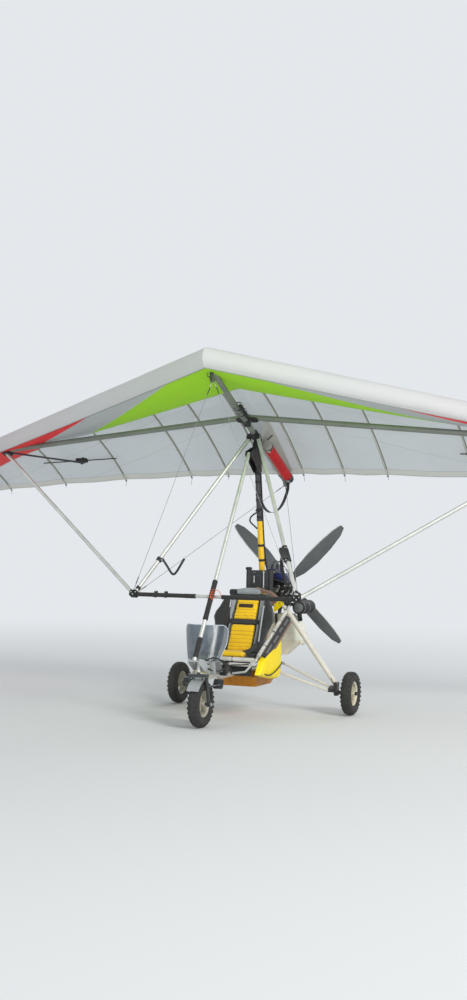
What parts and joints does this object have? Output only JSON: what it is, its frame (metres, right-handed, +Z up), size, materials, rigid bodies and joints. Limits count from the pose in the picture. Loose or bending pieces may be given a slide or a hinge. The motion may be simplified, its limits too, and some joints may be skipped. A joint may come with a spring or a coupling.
{
  "type": "single-seat microlight trike",
  "caption": "Open single-seat microlight: a strut-braced flexible wing hung from the mast of a three-wheeled trike with a pusher engine and steerable nosewheel.",
  "frame": {"origin": "on the ground, below the middle of the machine's bounding box", "axes": "+Z up, -Y the way the nose points, +X towards the machine's left, along the wing"},
  "size_m": [9.68, 2.9502, 3.2471],
  "materials": {
    "alloy_tube": "satin",
    "yellow_paint": "gloss",
    "dark_paint": "satin",
    "black_fitting": "matte",
    "yellow_moulding": "gloss",
    "seat_black": "matte",
    "seat_grey": "matte",
    "seat_yellow": "quilted",
    "tank_white": "satin",
    "clear_screen": "clear",
    "engine_alloy": "cast",
    "exhaust_steel": "heat darkened",
    "tyre": "matte",
    "rim_paint": "satin",
    "guard_grey": "satin",
    "blade_grey": "satin",
    "sailcloth": "ripstop",
    "canister_red": "matte",
    "grip_foam": "matte",
    "wire_steel": "stranded"
  },
  "bodies": {
    "trike": {"base_frame": "yellow_paint", "nose_bracket": "dark_paint", "front_strut": "alloy_tube", "mast_lower": "yellow_paint", "mast_upper": "dark_paint", "mast_head": "dark_paint", "gear_legs": "alloy_tube", "axle_stubs": "dark_paint", "drag_struts": "alloy_tube", "seat_rails": "alloy_tube", "seat_shell": "seat_black", "backrest_pad": "seat_yellow", "base_pad": "seat_black", "head_roll": "seat_black", "belly_tub": "yellow_moulding", "side_pods": "yellow_moulding", "side_flaps": "seat_black", "side_strips": "seat_grey", "gussets": "yellow_paint", "fuel_tank": "tank_white", "windscreen": "clear_screen", "screen_bracket": "dark_paint", "engine_mount": "dark_paint", "crankcase": "engine_alloy", "cylinders": "engine_alloy", "gearbox": "engine_alloy", "intake": "black_fitting", "exhaust": "exhaust_steel", "muffler": "exhaust_steel", "radiator": "dark_paint"},
    "steering": {"fork": "dark_paint", "mudguard": "guard_grey"},
    "front_wheel": {"front_rim": "rim_paint", "front_tyre": "tyre"},
    "left_wheel": {"left_rim": "rim_paint", "left_tyre": "tyre"},
    "right_wheel": {"right_rim": "rim_paint", "right_tyre": "tyre"},
    "propeller": {"propeller_hub": "black_fitting", "propeller_blades": "blade_grey"},
    "hang_block": {"hang_block": "dark_paint"},
    "wing": {"wing_keel": "alloy_tube", "apex_clamp": "black_fitting", "cross_plate": "black_fitting", "cross_tube": "alloy_tube", "junction_fittings": "black_fitting", "sail_left": "sailcloth", "sail_right": "sailcloth", "battens": "alloy_tube", "uprights": "alloy_tube", "control_bar": "alloy_tube", "bar_grips": "grip_foam", "lift_struts": "alloy_tube", "sprogs": "alloy_tube", "stay_wires": "wire_steel", "chute_canister": "canister_red"}
  },
  "joints": [
    {"name": "steer", "type": "hinge", "parent": "trike", "child": "steering", "pos_m": [0, -1.3251, 0.515], "axis": [0, 0.1736, 0.9848], "range_deg": [-25, 25]},
    {"name": "front_wheel_spin", "type": "hinge", "parent": "steering", "child": "front_wheel", "pos_m": [0, -1.2751, 0.2], "axis": [1, 0, 0], "continuous": true},
    {"name": "left_wheel_spin", "type": "hinge", "parent": "trike", "child": "left_wheel", "pos_m": [0.88, 0.1549, 0.2], "axis": [1, 0, 0], "continuous": true},
    {"name": "right_wheel_spin", "type": "hinge", "parent": "trike", "child": "right_wheel", "pos_m": [-0.88, 0.1549, 0.2], "axis": [1, 0, 0], "continuous": true},
    {"name": "propeller_spin", "type": "hinge", "parent": "trike", "child": "propeller", "pos_m": [0, 0.7849, 1.192], "axis": [0, 1, 0], "continuous": true},
    {"name": "wing_pitch", "type": "hinge", "parent": "trike", "child": "hang_block", "pos_m": [0, -0.1471, 2.456], "axis": [1, 0, 0], "range_deg": [0, 16]},
    {"name": "wing_roll", "type": "hinge", "parent": "hang_block", "child": "wing", "pos_m": [0, -0.09492, 2.56772], "axis": [0, 0.9092, -0.4163], "range_deg": [-13, 13]}
  ]
}
